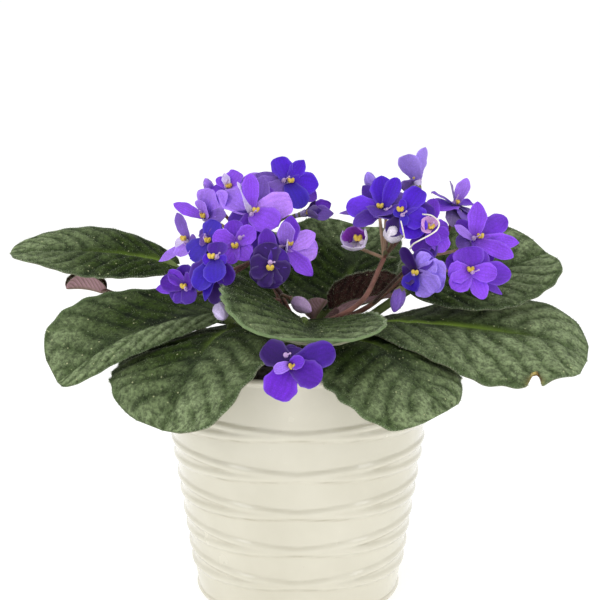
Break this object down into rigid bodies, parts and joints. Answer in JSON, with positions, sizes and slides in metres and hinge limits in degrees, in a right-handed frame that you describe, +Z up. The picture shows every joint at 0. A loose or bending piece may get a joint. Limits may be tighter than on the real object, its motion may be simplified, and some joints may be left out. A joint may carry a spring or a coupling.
{
  "type": "potted african violet",
  "caption": "Flowering african violet with broad velvety leaves spreading over the rim of a tapered ribbed cream metal pot.",
  "frame": {"origin": "middle of the pot's flat base", "axes": "+Z up, +X to the right and -Y towards the viewer at the plant's front"},
  "size_m": [0.2984, 0.1881, 0.2274],
  "materials": {
    "pot_enamel": "glossy cream enamel over thin sheet metal",
    "soil": "crumbly matte potting soil",
    "crown": "fleshy green-brown stem",
    "leaf": "velvety dark green with fine white hairs",
    "leaf_young": "young leaf with maroon and mauve underside",
    "petal_deep": "soft deep blue-violet petal",
    "petal_bright": "soft bright violet petal",
    "petal_lilac": "soft pale lilac petal",
    "bud": "soft mauve-white bud",
    "stem": "hairy reddish-brown flower stem"
  },
  "bodies": {
    "root": {"pot": "pot_enamel", "soil": "soil", "crown": "crown", "leaf_left_upper": "leaf", "leaf_left": "leaf", "leaf_front_left": "leaf", "leaf_front": "leaf", "leaf_front_right": "leaf", "leaf_right": "leaf", "leaf_right_back": "leaf", "leaf_centre_back": "leaf", "leaf_left_curled": "leaf_young", "leaf_back_left": "leaf", "leaf_back": "leaf", "leaf_back_right": "leaf", "leaf_young_left": "leaf_young", "leaf_young_right": "leaf_young", "flower_l01": "petal_deep", "flower_l02": "petal_bright", "flower_l03": "petal_bright", "flower_l04": "petal_lilac", "flower_l05": "petal_bright", "flower_l06": "petal_bright", "flower_l07": "petal_deep", "flower_l08": "petal_bright", "flower_l09": "petal_deep", "flower_l10": "petal_lilac", "flower_l11": "petal_deep", "flower_l12": "petal_deep", "flower_front": "petal_bright", "flower_r01": "petal_deep", "flower_r02": "petal_deep", "flower_r03": "petal_lilac", "flower_r05": "petal_bright", "flower_r06": "petal_bright", "flower_r07": "petal_bright", "flower_r08": "petal_bright", "flower_r09": "petal_lilac", "bud_globe": "bud", "bud_white": "bud", "bud_left": "bud", "bud_centre": "bud", "bud_right": "bud", "bud_upper_left": "bud", "bud_upper_right": "bud", "bud_top_right": "bud", "stalk_left_front": "stem", "stalk_left_back": "stem", "stalk_right_front": "stem", "stalk_right_back": "stem", "stalk_centre": "stem", "stalk_front": "stem"}
  },
  "joints": []
}
